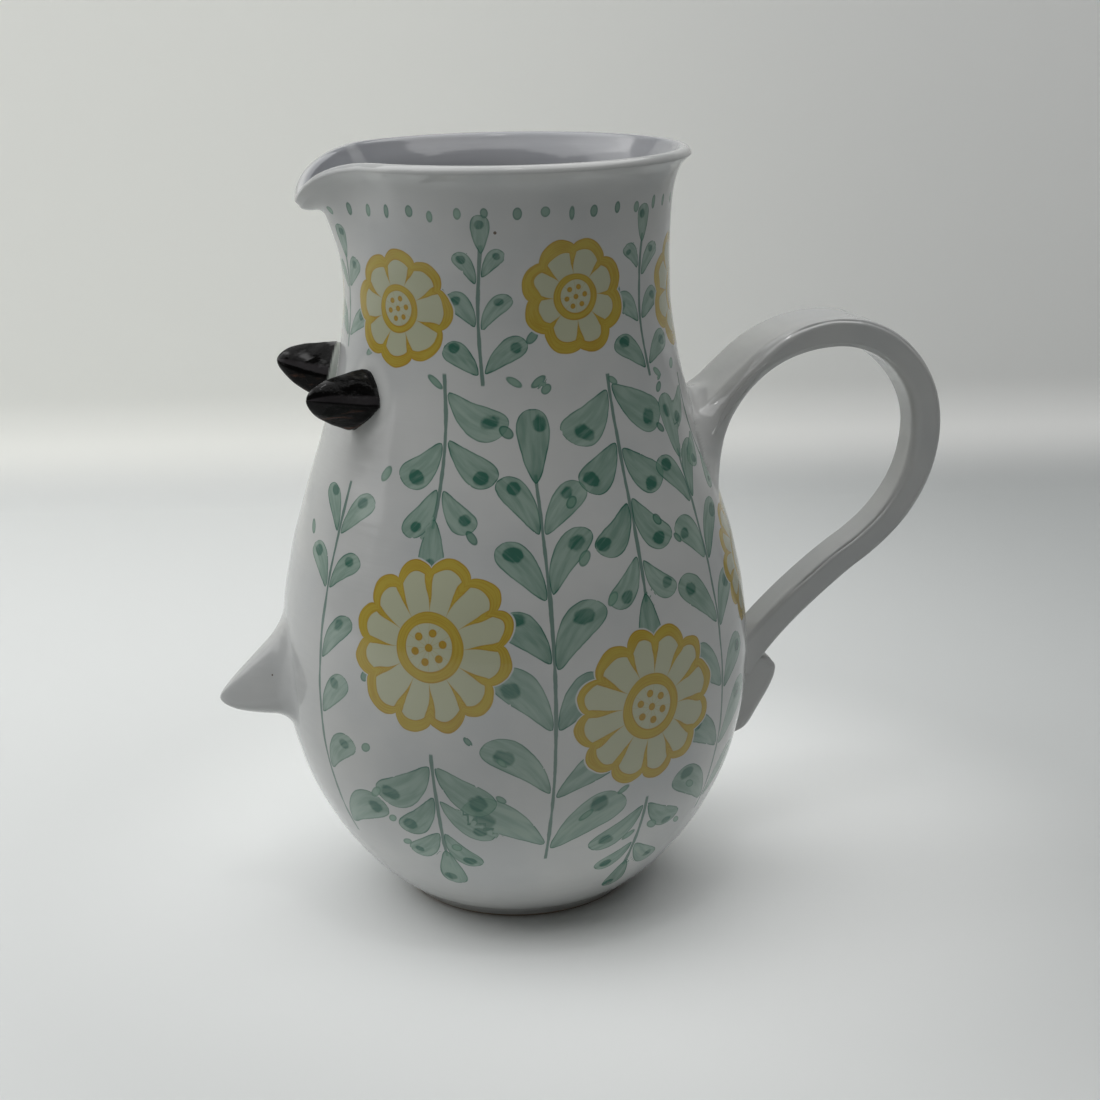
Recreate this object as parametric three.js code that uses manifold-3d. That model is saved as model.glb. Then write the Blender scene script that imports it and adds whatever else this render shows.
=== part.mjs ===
// A hand-thrown pitcher with a pulled lip, a strap handle that ends above a lobed tail,
// a cone-shaped nose on the belly and two short dark horns on the neck.
// Millimetres, +Z up, the lip and nose towards -X and the handle towards +X.
import * as THREE from 'three';
import { mergeVertices } from 'three/addons/utils/BufferGeometryUtils.js';
import Module from 'manifold-3d';

const wasm = await Module();
wasm.setup();

// Clearance left between neighbouring pieces, and how far a piece starts inside its neighbour
const jointGap = 0.3;
const rootDepth = 7;

// Vessel
const vesselHeight = 240;
const bellyRadius = 75.8;
const bellyHeight = 78.4;
const neckRadius = 50.4;
const neckDrop = 36;
const rimRadius = 56.9;
const beadRadius = 2.3;
const wallThickness = 4.5;
const floorThickness = 7;
const footRadius = 38.4;
const footRingWidth = 5;
const footHeight = 3.5;
const footRecess = 2;
const footRound = 2;

// Lip, pulled out of the rim and down to a spout in its middle
const lipReach = 8.4;
const lipDrop = 15.4;
const lipPinch = 1.6;
const lipDepth = 45;
const lipHalfAngle = THREE.MathUtils.degToRad(41);
const spoutHalfAngle = THREE.MathUtils.degToRad(16);

// Strap handle: its top is below the rim, its lower root below the widest part of the belly,
// and it stands clear of the wall
const strapTopDrop = 61.2;
const strapRootDrop = 14.4;
const strapStand = 78.1;
const strapWidth = 23.5;
const strapThickness = 8.8;
const strapCorner = 2.8;
const strapFillet = 5;
const strapRootFlare = 15;

// Lobed tail under the lower root
const tailGap = 4.4;
const tailHeight = 31;
const tailReach = 15.7;
const tailWidth = 19;

// Nose, its tip drooping from the middle of its base
const noseRise = 2.6;
const noseLength = 21.2;
const noseDroop = 11.2;
const noseTall = 32.6;
const noseWide = 30;
const noseFillet = 3;

// Horns, a pair that points forwards and up; the whole pair is turned a little to one side
const hornDrop = 72.5;
const hornLength = 19.2;
const hornRise = 6;
const hornTall = 20;
const hornWide = 15.5;
const hornAngle = THREE.MathUtils.degToRad(24);
const hornSplay = THREE.MathUtils.degToRad(-5.5);
const hornTurn = THREE.MathUtils.degToRad(3);

// Facets
const vesselSegments = 72;
const outerSteps = 9;
const innerSteps = 7;
const beadSteps = 6;
const spanSteps = 13;
const cornerSteps = 3;
const noseSides = 24;
const tailSides = 16;
const hornSides = 14;

const glaze = { color: 0xdedddb, roughness: 0.16, metalness: 0 };
const darkGlaze = { color: 0x1c1512, roughness: 0.12, metalness: 0 };

const rimHeight = vesselHeight - beadRadius;
const neckHeight = vesselHeight - neckDrop;
const alongX = new THREE.Vector3(1, 0, 0);
const alongY = new THREE.Vector3(0, 1, 0);
const alongZ = new THREE.Vector3(0, 0, 1);

const mix = THREE.MathUtils.lerp;

function smoothstep(value) {
  const share = THREE.MathUtils.clamp(value, 0, 1);
  return share * share * (3 - 2 * share);
}

// Points of one cubic curve of a profile, without its first point
function curvePoints(start, startHandle, endHandle, end, steps) {
  const corners = [start, startHandle, endHandle, end].map((pair) => new THREE.Vector2(...pair));
  return new THREE.CubicBezierCurve(...corners).getPoints(steps).slice(1);
}

// Outer wall from the top of the foot to the side of the rim, grown outwards by a clearance
function outerWall(grow) {
  const foot = [footRadius + footRound + grow, footHeight];
  const belly = [bellyRadius + grow, bellyHeight];
  const neck = [neckRadius + grow, neckHeight];
  const rim = [rimRadius + grow, rimHeight];
  const footShare = 0.06;
  const lowerBellyShare = 0.65;
  const upperBellyShare = 0.4;
  const lowerNeckShare = 0.38;
  const upperNeckShare = 0.9;
  const flareShare = 1.4;
  const footHandle = [mix(foot[0], belly[0], footShare), foot[1]];
  const lowerBelly = [belly[0], mix(belly[1], foot[1], lowerBellyShare)];
  const upperBelly = [belly[0], mix(belly[1], neck[1], upperBellyShare)];
  const lowerNeck = [neck[0], mix(neck[1], belly[1], lowerNeckShare)];
  const upperNeck = [neck[0], mix(neck[1], rim[1], upperNeckShare)];
  const flare = [rim[0] - flareShare * beadRadius, rim[1] - flareShare * beadRadius];
  return [
    new THREE.Vector2(...foot),
    ...curvePoints(foot, footHandle, lowerBelly, belly, outerSteps),
    ...curvePoints(belly, upperBelly, lowerNeck, neck, outerSteps),
    ...curvePoints(neck, upperNeck, flare, rim, outerSteps),
  ];
}

// Half circle over the top of the rim
function rimBead() {
  const centre = rimRadius - beadRadius;
  const points = [];
  for (let i = 1; i <= beadSteps; i++) {
    const turn = (Math.PI * i) / beadSteps;
    const radius = centre + beadRadius * Math.cos(turn);
    points.push(new THREE.Vector2(radius, rimHeight + beadRadius * Math.sin(turn)));
  }
  return points;
}

// Inner wall from the rim down to the middle of the floor
function innerWall() {
  const rim = [rimRadius - 2 * beadRadius, rimHeight];
  const neck = [neckRadius - wallThickness, neckHeight];
  const belly = [bellyRadius - wallThickness, bellyHeight];
  const floor = [0, footRecess + floorThickness];
  const rimInShare = 1.3;
  const rimDownShare = 2.4;
  const upperNeckShare = 0.8;
  const lowerNeckShare = 0.38;
  const upperBellyShare = 0.4;
  const lowerBellyShare = 0.6;
  const floorShare = 0.62;
  const rimHandle = [rim[0] - rimInShare * beadRadius, rim[1] - rimDownShare * beadRadius];
  const upperNeck = [neck[0], mix(neck[1], rim[1], upperNeckShare)];
  const lowerNeck = [neck[0], mix(neck[1], belly[1], lowerNeckShare)];
  const upperBelly = [belly[0], mix(belly[1], neck[1], upperBellyShare)];
  const lowerBelly = [belly[0], mix(belly[1], floor[1], lowerBellyShare)];
  const floorHandle = [belly[0] * floorShare, floor[1]];
  return [
    ...curvePoints(rim, rimHandle, upperNeck, neck, innerSteps),
    ...curvePoints(neck, lowerNeck, upperBelly, belly, innerSteps),
    ...curvePoints(belly, lowerBelly, floorHandle, floor, innerSteps),
  ];
}

// Underside of the vessel: a shallow recess inside a turned foot ring
function footProfile() {
  const ringInner = footRadius - footRingWidth;
  return [
    new THREE.Vector2(0, footRecess),
    new THREE.Vector2(ringInner - footRecess, footRecess),
    new THREE.Vector2(ringInner, 0),
    new THREE.Vector2(footRadius, 0),
  ];
}

// A turned solid standing on +Z
function turned(profile) {
  const geometry = new THREE.LatheGeometry(profile, vesselSegments);
  geometry.rotateX(Math.PI / 2);
  return geometry;
}

// Pulls the rim out and down into the lip, with its sides pinched in
function pullLip(geometry) {
  const reachPower = 1.4;
  const dropPower = 3.4;
  const pinchPower = 3;
  const spoutPower = 2.4;
  const position = geometry.attributes.position;
  const point = new THREE.Vector3();
  for (let i = 0; i < position.count; i++) {
    point.fromBufferAttribute(position, i);
    const rise = (point.z - vesselHeight + lipDepth) / lipDepth;
    if (rise <= 0) continue;
    const radius = Math.hypot(point.x, point.y);
    const turn = Math.abs(Math.atan2(point.y, -point.x));
    const spread = 1 - smoothstep(turn / lipHalfAngle);
    const beside = smoothstep(1 - Math.abs(turn / lipHalfAngle - 1));
    const spout = Math.exp(-((turn / spoutHalfAngle) ** spoutPower));
    const pull = lipReach * spread * rise ** reachPower;
    const pinch = lipPinch * beside * rise ** pinchPower;
    const drop = lipDrop * spout * rise ** dropPower;
    const scale = (radius + pull - pinch) / radius;
    position.setXYZ(i, point.x * scale, point.y * scale, point.z - drop);
  }
}

// Closed skin over rings that all have the same number of points
function skin(rings) {
  const sides = rings[0].length;
  const last = rings.length - 1;
  const positions = rings.flat().flatMap((point) => point.toArray());
  const indices = [];
  for (let i = 0; i < last; i++) {
    for (let j = 0; j < sides; j++) {
      const here = i * sides + j;
      const beside = i * sides + ((j + 1) % sides);
      indices.push(here, beside, beside + sides);
      indices.push(here, beside + sides, here + sides);
    }
  }
  for (const end of [0, last]) {
    const centre = new THREE.Vector3();
    rings[end].forEach((point) => centre.add(point));
    centre.divideScalar(sides);
    const middle = positions.length / 3;
    positions.push(...centre.toArray());
    for (let j = 0; j < sides; j++) {
      const here = end * sides + j;
      const beside = end * sides + ((j + 1) % sides);
      indices.push(middle, ...(end === 0 ? [beside, here] : [here, beside]));
    }
  }
  const geometry = new THREE.BufferGeometry();
  geometry.setAttribute('position', new THREE.Float32BufferAttribute(positions, 3));
  geometry.setIndex(indices);
  return geometry;
}

const wallPoints = outerWall(0);

// Radius of the outer wall at a height
function wallRadius(height) {
  const above = wallPoints.findIndex((point) => point.y >= height);
  if (above < 0) return rimRadius;
  if (above === 0) return wallPoints[0].x;
  const low = wallPoints[above - 1];
  const high = wallPoints[above];
  return mix(low.x, high.x, (height - low.y) / (high.y - low.y));
}

// Spreads a ring where it comes near the wall, so that the piece flows into the vessel
function spreadRoot(ring, centre, fillet) {
  for (const point of ring) {
    const clear = Math.hypot(point.x, point.y) - wallRadius(point.z);
    const near = THREE.MathUtils.clamp(1 - clear / fillet, 0, 1);
    const outward = point.clone().sub(centre).normalize();
    point.addScaledVector(outward, (fillet * near * near) / 2);
  }
  return ring;
}

// Oval of points across two directions; a squareness of 2 is an ellipse, and lean draws it in
// towards its top
function ovalRing(centre, across, up, wide, tall, shape) {
  const { sides, squareness, lean = 0 } = shape;
  const power = 2 / squareness;
  const ring = [];
  for (let i = 0; i < sides; i++) {
    const turn = (2 * Math.PI * i) / sides;
    const y = Math.sign(Math.sin(turn)) * Math.abs(Math.sin(turn)) ** power;
    const x = Math.sign(Math.cos(turn)) * Math.abs(Math.cos(turn)) ** power * (1 - lean * y);
    const point = centre.clone().addScaledVector(across, (wide / 2) * x);
    ring.push(point.addScaledVector(up, (tall / 2) * y));
  }
  return ring;
}

// Rectangle with rounded corners across two directions
function strapRing(centre, across, up, width, thickness) {
  const ring = [];
  const corners = [[1, 1], [-1, 1], [-1, -1], [1, -1]];
  corners.forEach(([sideways, outward], corner) => {
    for (let i = 0; i <= cornerSteps; i++) {
      const turn = (Math.PI / 2) * (corner + i / cornerSteps);
      const x = sideways * (width / 2 - strapCorner) + strapCorner * Math.cos(turn);
      const y = outward * (thickness / 2 - strapCorner) + strapCorner * Math.sin(turn);
      ring.push(centre.clone().addScaledVector(across, x).addScaledVector(up, y));
    }
  });
  return ring;
}

function solidOf(geometry) {
  const bare = geometry.clone();
  bare.deleteAttribute('normal');
  bare.deleteAttribute('uv');
  const merged = mergeVertices(bare);
  return new wasm.Manifold(new wasm.Mesh({
    numProp: 3,
    vertProperties: new Float32Array(merged.attributes.position.array),
    triVerts: new Uint32Array(merged.index.array),
  }));
}

function geometryOf(solid) {
  const { vertProperties, triVerts } = solid.getMesh();
  const geometry = new THREE.BufferGeometry();
  geometry.setAttribute('position', new THREE.BufferAttribute(new Float32Array(vertProperties), 3));
  geometry.setIndex(new THREE.BufferAttribute(new Uint32Array(triVerts), 1));
  geometry.computeVertexNormals();
  return geometry;
}

// The vessel's outer form, filled and grown by the joint gap, which trims every root
function rootCutter() {
  const wall = outerWall(jointGap);
  const bottom = new THREE.Vector2(0, wall[0].y);
  const top = new THREE.Vector2(0, wall[wall.length - 1].y);
  return solidOf(turned([bottom, ...wall, top]));
}

const cutter = rootCutter();

function vesselGeometry() {
  const geometry = turned([...footProfile(), ...outerWall(0), ...rimBead(), ...innerWall()]);
  pullLip(geometry);
  geometry.computeVertexNormals();
  return geometry;
}

// Knots of the strap's centreline from the upper root to the lower one. Heights are shares of
// the handle's height; stands, leads and follows (the tangents before and after a knot) are
// shares of how far the handle stands out; slopes are the direction of travel in degrees.
const strapKnotShares = [
  { height: 0.584, stand: -0.15, slope: 69, lead: 0, follow: 0.5, width: 1.42, thickness: 0.95 },
  { height: 1, stand: 0.696, slope: 0, lead: 0.215, follow: 0.21, width: 1, thickness: 1 },
  { height: 0.693, stand: 1, slope: -90, lead: 0.26, follow: 0.21, width: 0.73, thickness: 1.12 },
  { height: 0.325, stand: 0.511, slope: -146, lead: 0.235, follow: 0.117, width: 0.79, thickness: 0.82 },
  { height: 0, stand: 0.013, slope: -108, lead: 0.2, follow: 0, width: 0.7, thickness: 0.92 },
];

const strapTop = vesselHeight - strapTopDrop;
const strapBottom = bellyHeight - strapRootDrop;

// A point on the tangent of a knot, a share of the stand before or after it
function besideKnot(knot, share) {
  const slope = THREE.MathUtils.degToRad(knot.slope);
  const height = mix(strapBottom, strapTop, knot.height);
  const reach = wallRadius(height) + strapStand * knot.stand;
  const along = strapStand * share;
  return new THREE.Vector3(reach + along * Math.cos(slope), 0, height + along * Math.sin(slope));
}

// Strap swept along its centreline, flared outwards at the upper root
function strapGeometry(grow) {
  const flareEndShare = 0.42;
  const rings = [];
  for (let span = 1; span < strapKnotShares.length; span++) {
    const from = strapKnotShares[span - 1];
    const to = strapKnotShares[span];
    const curve = new THREE.CubicBezierCurve3(
      besideKnot(from, 0),
      besideKnot(from, from.follow),
      besideKnot(to, -to.lead),
      besideKnot(to, 0),
    );
    for (let step = span === 1 ? 0 : 1; step <= spanSteps; step++) {
      const share = step / spanSteps;
      const up = new THREE.Vector3().crossVectors(curve.getTangent(share), alongY);
      const flareShare = span === 1 ? Math.max(0, 1 - share / flareEndShare) ** 2 : 0;
      const flare = strapRootFlare * flareShare;
      const width = strapWidth * mix(from.width, to.width, smoothstep(share));
      const thickness = strapThickness * mix(from.thickness, to.thickness, smoothstep(share));
      const centre = curve.getPoint(share).addScaledVector(up, flare / 2);
      const ring = strapRing(centre, alongY, up, width + 2 * grow, thickness + flare + 2 * grow);
      rings.push(spreadRoot(ring, centre, strapFillet));
    }
  }
  return skin(rings);
}

// Tongue of clay that runs down the wall, standing out as a round lobe at its top
function tailGeometry() {
  const levelShares = [0, 0.04, 0.11, 0.2, 0.33, 0.48, 0.66, 0.82, 0.91, 0.97, 1];
  const reachShares = [0.5, 0.8, 0.95, 1, 0.95, 0.87, 0.8, 0.74, 0.64, 0.48, 0.28];
  const widthShares = [0.6, 0.8, 0.94, 1, 0.98, 0.92, 0.84, 0.76, 0.68, 0.56, 0.35];
  const tailTop = strapBottom + tailGap;
  const shape = { sides: tailSides, squareness: 2.4 };
  const rings = levelShares.map((level, i) => {
    const height = tailTop - tailHeight * level;
    const inner = wallRadius(height) - rootDepth;
    const outer = wallRadius(height) + tailReach * reachShares[i];
    const centre = new THREE.Vector3((inner + outer) / 2, 0, height);
    const wide = tailWidth * widthShares[i];
    return ovalRing(centre, alongX, alongY, outer - inner, wide, shape);
  });
  return skin(rings.reverse());
}

// Cone that droops to a blunt tip, narrower along its ridge than underneath
function noseGeometry() {
  const stepShares = [0, 0.2, 0.28, 0.36, 0.48, 0.62, 0.75, 0.85, 0.93, 0.98, 0.997];
  const bluntShare = 0.15;
  const bluntPower = 6;
  const shape = { sides: noseSides, squareness: 2.3, lean: 0.22 };
  const baseHeight = bellyHeight + noseRise;
  const start = wallRadius(baseHeight) - rootDepth;
  const end = wallRadius(baseHeight) + noseLength;
  const towardsViewer = alongY.clone().negate();
  const rings = stepShares.map((share) => {
    const size = mix(1 - share, Math.sqrt(1 - share ** bluntPower), bluntShare);
    const centre = new THREE.Vector3(-mix(start, end, share), 0, baseHeight - noseDroop * share);
    const ring = ovalRing(centre, towardsViewer, alongZ, noseWide * size, noseTall * size, shape);
    return spreadRoot(ring, centre, noseFillet);
  });
  return skin(rings);
}

// Short horn with a pinched crest; hand is 1 or -1 for the side of the middle line
function hornGeometry(hand) {
  const stepShares = [0, 0.25, 0.4, 0.58, 0.74, 0.87, 0.95, 1];
  const sizeShares = [1.02, 1, 0.86, 0.66, 0.48, 0.34, 0.22, 0.06];
  const shape = { sides: hornSides, squareness: 1.8 };
  const facing = (angle) => {
    const turn = hand * angle - hornTurn;
    return new THREE.Vector3(-Math.cos(turn), Math.sin(turn), 0);
  };
  const baseHeight = vesselHeight - hornDrop;
  const root = facing(hornAngle).multiplyScalar(wallRadius(baseHeight) - rootDepth);
  const along = facing(hornAngle + hornSplay);
  const across = new THREE.Vector3().crossVectors(alongZ, along);
  const rings = stepShares.map((share, i) => {
    const centre = root.clone().addScaledVector(along, (hornLength + rootDepth) * share);
    centre.z = baseHeight + hornRise * share;
    return ovalRing(centre, across, alongZ, hornWide * sizeShares[i], hornTall * sizeShares[i], shape);
  });
  return skin(rings);
}

const pitcher = new THREE.Group();

function addPiece(name, geometry, finish) {
  const piece = new THREE.Mesh(geometry, new THREE.MeshStandardMaterial(finish));
  piece.name = name;
  pitcher.add(piece);
}

const strapSolid = solidOf(strapGeometry(0)).subtract(cutter);
const tailSolid = solidOf(tailGeometry()).subtract(cutter).subtract(solidOf(strapGeometry(jointGap)));
const noseSolid = solidOf(noseGeometry()).subtract(cutter);

addPiece('vessel_body', vesselGeometry(), glaze);
addPiece('strap_handle', geometryOf(strapSolid), glaze);
addPiece('handle_terminal', geometryOf(tailSolid), glaze);
addPiece('nose', geometryOf(noseSolid), glaze);
addPiece('horn_right', geometryOf(solidOf(hornGeometry(1)).subtract(cutter)), darkGlaze);
addPiece('horn_left', geometryOf(solidOf(hornGeometry(-1)).subtract(cutter)), darkGlaze);

// The origin is on the standing surface, under the middle of the whole outline
const middle = new THREE.Box3().setFromObject(pitcher).getCenter(new THREE.Vector3());
pitcher.position.set(-middle.x, -middle.y, 0);
const model = new THREE.Group();
model.add(pitcher);

export default model;
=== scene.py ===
import math
import random

import bmesh
import bpy
import numpy as np
from mathutils import Matrix, Vector, noise
from mathutils.geometry import interpolate_bezier


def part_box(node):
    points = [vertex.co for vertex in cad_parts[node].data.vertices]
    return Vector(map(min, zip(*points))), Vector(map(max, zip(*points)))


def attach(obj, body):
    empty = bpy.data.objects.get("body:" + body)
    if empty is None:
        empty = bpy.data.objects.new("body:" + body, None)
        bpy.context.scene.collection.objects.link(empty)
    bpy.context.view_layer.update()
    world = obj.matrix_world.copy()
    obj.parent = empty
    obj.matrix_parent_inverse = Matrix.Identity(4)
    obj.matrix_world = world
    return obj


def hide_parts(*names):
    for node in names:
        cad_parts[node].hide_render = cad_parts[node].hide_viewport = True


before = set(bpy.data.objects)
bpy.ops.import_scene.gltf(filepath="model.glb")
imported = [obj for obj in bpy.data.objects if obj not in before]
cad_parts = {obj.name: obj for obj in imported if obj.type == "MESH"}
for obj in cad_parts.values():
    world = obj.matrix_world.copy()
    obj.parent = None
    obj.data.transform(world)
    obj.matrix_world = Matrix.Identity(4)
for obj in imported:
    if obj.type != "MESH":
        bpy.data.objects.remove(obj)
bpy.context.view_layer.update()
mm = 0.001  # shapes are worked out in millimetres from the vessel's axis
bodyLow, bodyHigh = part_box("vessel_body")
axisX = bodyHigh.x - (bodyHigh.y - bodyLow.y) / 2
print("frame loaded")

# Vessel: a thrown form with a lip pulled out of its rim
vessel = {
    "height": 240,
    "bellyRadius": 75.8,
    "bellyHeight": 78.4,
    "neckRadius": 50.4,
    "neckHeight": 204,
    "rimRadius": 56.9,
    "beadRadius": 2.3,
    "wall": 4.5,
    "floor": 7,
    "footRadius": 38.4,
    "footRing": 5,
    "footHeight": 3.5,
    "footRecess": 2,
    "footRound": 2,
    "rimTurn": math.radians(151.6),
    "segments": 360,
    "outerSteps": (70, 98, 36),
    "beadSteps": 12,
    "innerSteps": (26, 11, 9),
}
lip = {
    "reach": 8.5,
    "drop": 11.3,
    "pinch": 1.2,
    "blunt": 0.15,
    "bluntFrom": 6,
    "bluntHeight": 3.7,
    "depth": 40,
    "rigid": 5,
    "foldStart": 19,
    "foldHeight": 16.5,
    "insideStart": 11,
    "insideHeight": 9.85,
    "halfAngle": 23.5,
    "pinchAngle": 31,
    "pinchSpread": 12,
    "dropAngle": 11,
    "creaseAngle": 0.8,
    "reachCurve": 1.5,
    "pinchCurve": 3,
    "dropCurve": 1.2,
}
# Faint rings left by the fingers, only inwards so that the size stays
throwing = {
    "depth": 0.12,
    "spacing": 3.1,
    "drift": 17,
    "low": 12,
    "lowFade": 30,
    "high": 232,
    "highFade": 20,
}


def smoothstep(value):
    share = np.clip(value, 0, 1)
    return share * share * (3 - 2 * share)


def mix(low, high, share):
    return low + (high - low) * share


def curve(start, startHandle, endHandle, end, steps):
    corners = [Vector((*pair, 0)) for pair in (start, startHandle, endHandle, end)]
    return [(point.x, point.y) for point in interpolate_bezier(*corners, steps + 1)][1:]


def outerWall():
    # Bare shares say how far a curve's handles reach along its height
    v = vessel
    foot = (v["footRadius"] + v["footRound"], v["footHeight"])
    belly = (v["bellyRadius"], v["bellyHeight"])
    neck = (v["neckRadius"], v["neckHeight"])
    rim = (v["rimRadius"], v["height"] - v["beadRadius"])
    footHandle = (mix(foot[0], belly[0], 0.06), foot[1])
    lowerBelly = (belly[0], mix(belly[1], foot[1], 0.65))
    upperBelly = (belly[0], mix(belly[1], neck[1], 0.4))
    lowerNeck = (neck[0], mix(neck[1], belly[1], 0.38))
    upperNeck = (neck[0], mix(neck[1], rim[1], 0.9))
    flare = (rim[0] - 1.4 * v["beadRadius"], rim[1] - 1.4 * v["beadRadius"])
    lowSteps, highSteps, neckSteps = v["outerSteps"]
    wall = [foot]
    wall += curve(foot, footHandle, lowerBelly, belly, lowSteps)
    wall += curve(belly, upperBelly, lowerNeck, neck, highSteps)
    return wall + curve(neck, upperNeck, flare, rim, neckSteps)


def innerWall():
    v = vessel
    rim = rimBead()[-1]
    neck = (v["neckRadius"] - v["wall"], v["neckHeight"])
    belly = (v["bellyRadius"] - v["wall"], v["bellyHeight"])
    middle = (0, v["footRecess"] + v["floor"])
    rimHandle = (rim[0] - 1.3 * v["beadRadius"], rim[1] - 2.4 * v["beadRadius"])
    upperNeck = (neck[0], mix(neck[1], rim[1], 0.8))
    lowerNeck = (neck[0], mix(neck[1], belly[1], 0.38))
    upperBelly = (belly[0], mix(belly[1], neck[1], 0.4))
    lowerBelly = (belly[0], mix(belly[1], middle[1], 0.6))
    floorHandle = (belly[0] * 0.62, middle[1])
    neckSteps, highSteps, lowSteps = v["innerSteps"]
    wall = curve(rim, rimHandle, upperNeck, neck, neckSteps)
    wall += curve(neck, lowerNeck, upperBelly, belly, highSteps)
    return wall + curve(belly, lowerBelly, floorHandle, middle, lowSteps)


def rimBead():
    bead = vessel["beadRadius"]
    steps = vessel["beadSteps"]
    centre = vessel["rimRadius"] - bead
    turns = [vessel["rimTurn"] * i / steps for i in range(1, steps + 1)]
    top = vessel["height"] - bead
    return [(centre + bead * math.cos(turn), top + bead * math.sin(turn)) for turn in turns]


def footProfile():
    v = vessel
    ringInner = v["footRadius"] - v["footRing"]
    soft = v["footRound"] / 3
    return [
        (0, v["footRecess"]),
        (ringInner - v["footRecess"], v["footRecess"]),
        (ringInner - soft, soft),
        (ringInner + soft, 0),
        (v["footRadius"] - soft, 0),
        (v["footRadius"], soft),
    ]


wallPoints = outerWall()
wallHeights = np.array([height for radius, height in wallPoints])
wallRadii = np.array([radius for radius, height in wallPoints])
wallArcs = np.concatenate([[0], np.cumsum(np.hypot(np.diff(wallHeights), np.diff(wallRadii)))])


def wallRadius(height):
    return np.interp(height, wallHeights, wallRadii)


def wallArc(height):
    return np.interp(height, wallHeights, wallArcs)


def pullLip(points):
    # The finger draws the wall out from below and folds only the rim down over it
    radius = np.hypot(points[:, 0], points[:, 1])
    inside = np.clip((wallRadius(points[:, 2]) - radius) / vessel["wall"], 0, 1)
    below = vessel["height"] - points[:, 2]
    rise = np.clip((lip["depth"] - below) / (lip["depth"] - lip["rigid"]), 0, 1)
    foldStart = mix(lip["foldStart"], lip["insideStart"], inside)
    folded = smoothstep((foldStart - below) / mix(lip["foldHeight"], lip["insideHeight"], inside))
    turn = np.degrees(np.abs(np.arctan2(points[:, 1], -points[:, 0])))
    spread = 1 - smoothstep(turn / lip["halfAngle"])
    beside = smoothstep(1 - np.abs(turn - lip["pinchAngle"]) / lip["pinchSpread"])
    crease = np.hypot(turn, lip["creaseAngle"]) - lip["creaseAngle"]
    fold = np.exp(-((crease / lip["dropAngle"]) ** lip["dropCurve"]))
    blunted = lip["blunt"] * smoothstep((lip["bluntFrom"] - below) / lip["bluntHeight"])
    reach = lip["reach"] * (1 - blunted)
    grown = radius + reach * spread * rise ** lip["reachCurve"]
    grown -= lip["pinch"] * beside * rise ** lip["pinchCurve"]
    scale = np.where(radius > 1, grown / np.maximum(radius, 1), 1)
    points[:, :2] *= scale[:, None]
    points[:, 2] -= lip["drop"] * fold * folded


def fingerWave(height):
    t = throwing
    wave = np.sin(height / t["spacing"] + np.sin(height / t["drift"])) * 0.5 - 0.5
    strength = smoothstep((height - t["low"]) / t["lowFade"])
    strength = strength * smoothstep((t["high"] - height) / t["highFade"])
    return t["depth"] * wave * strength


def markFingers(points):
    radius = np.maximum(np.hypot(points[:, 0], points[:, 1]), 1)
    scale = 1 + fingerWave(points[:, 2]) / radius
    points[:, :2] *= scale[:, None]


def skinRadius(height):
    return float(wallRadius(height) + fingerWave(height))


def addObject(name, data):
    item = bpy.data.objects.new(name, data)
    bpy.context.scene.collection.objects.link(item)
    return item


def addMesh(bm, name, material):
    mesh = bpy.data.meshes.new(name)
    bm.to_mesh(mesh)
    bm.free()
    mesh.shade_smooth()
    mesh.materials.append(material)
    return addObject(name, mesh)


def addLine(bm, points):
    corners = [bm.verts.new(point) for point in points]
    return corners, [bm.edges.new(pair) for pair in zip(corners, corners[1:])]


def makePiece(bm, name, node, material):
    bmesh.ops.remove_doubles(bm, verts=bm.verts, dist=1e-4)
    bmesh.ops.recalc_face_normals(bm, faces=bm.faces)
    bmesh.ops.scale(bm, vec=(mm, mm, mm), verts=bm.verts)
    bmesh.ops.translate(bm, vec=(axisX, 0, 0), verts=bm.verts)
    piece = addMesh(bm, name, material)
    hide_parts(node)
    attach(piece, "root")
    return piece


def readPoints(mesh):
    points = np.zeros(len(mesh.vertices) * 3)
    mesh.vertices.foreach_get("co", points)
    points = points.reshape(-1, 3)
    points[:, 0] -= axisX
    return points / mm


def writePoints(mesh, points):
    placed = points * mm
    placed[:, 0] += axisX
    mesh.vertices.foreach_set("co", placed.ravel())
    mesh.update()


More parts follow.
